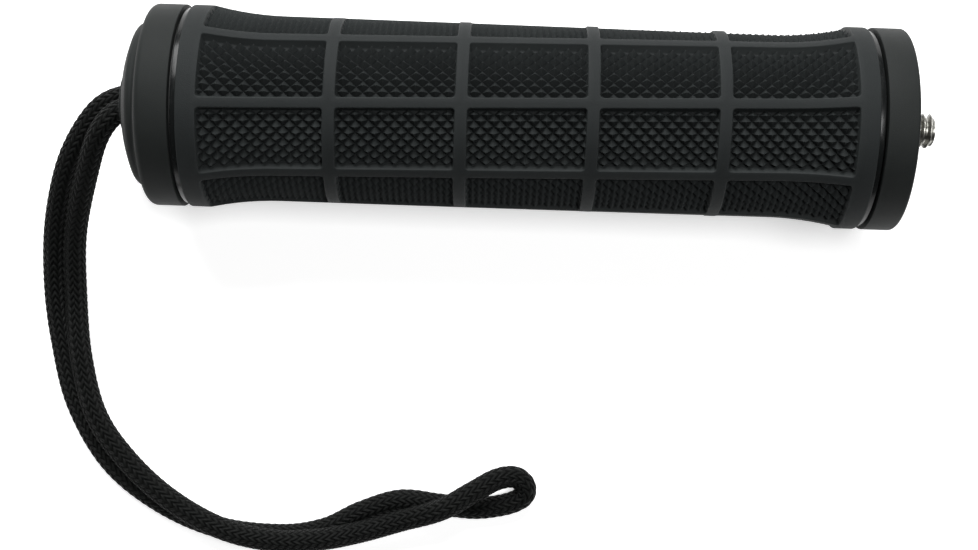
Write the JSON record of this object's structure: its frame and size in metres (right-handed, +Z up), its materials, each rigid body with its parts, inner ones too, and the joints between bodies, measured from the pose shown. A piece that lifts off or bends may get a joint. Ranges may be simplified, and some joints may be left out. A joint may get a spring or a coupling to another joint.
{
  "type": "hand grip",
  "caption": "Round hand grip with a ribbed, diamond-textured rubber sleeve, a threaded stud on one end, a domed screw cap on the other and a doubled cord wrist lanyard.",
  "frame": {"origin": "on the surface that the grip rests on, below the middle of the grip without its lanyard", "axes": "+X along the grip towards the stud, +Z up from the surface, and the lanyard lies on the -Y side"},
  "size_m": [0.1669, 0.1018, 0.037],
  "materials": {
    "gloss_core": "glossy moulded black plastic",
    "sleeve_rubber": "matt moulded rubber",
    "moulded_black": "plain moulded plastic",
    "cap_black": "satin moulded plastic with a fine spark texture",
    "insert_brass": "turned brass",
    "stud_steel": "zinc plated steel",
    "seal_rubber": "soft black rubber",
    "lanyard_braid": "braided black polyester cord"
  },
  "bodies": {
    "grip": {"core_tube": "gloss_core", "grip_sleeve": "sleeve_rubber", "front_plug": "moulded_black", "stud_collar": "cap_black", "collar_insert": "insert_brass", "stud_bolt": "stud_steel", "stud_washer": "stud_steel", "stud_lock_washer": "stud_steel"},
    "seal": {"cap_seal": "seal_rubber"},
    "cap": {"end_cap": "cap_black"},
    "lanyard": {"lanyard_washer": "stud_steel", "lanyard_knot": "lanyard_braid", "lanyard_cord": "lanyard_braid"}
  },
  "joints": [
    {"name": "cap_travel", "type": "slide", "parent": "grip", "child": "seal", "axis": [-1, 0, 0], "range_m": [0, 0.006]},
    {"name": "cap_turn", "type": "hinge", "parent": "seal", "child": "cap", "pos_m": [-0.07, 0, 0.0185], "axis": [-1, 0, 0], "range_deg": [0, 1440]},
    {"name": "lanyard_swivel", "type": "hinge", "parent": "cap", "child": "lanyard", "pos_m": [-0.07, 0, 0.0185], "axis": [1, 0, 0], "continuous": true}
  ],
  "couplings": [
    {"joint": "cap_travel", "follows": "cap_turn", "m_per_rad": 0.00023873}
  ]
}
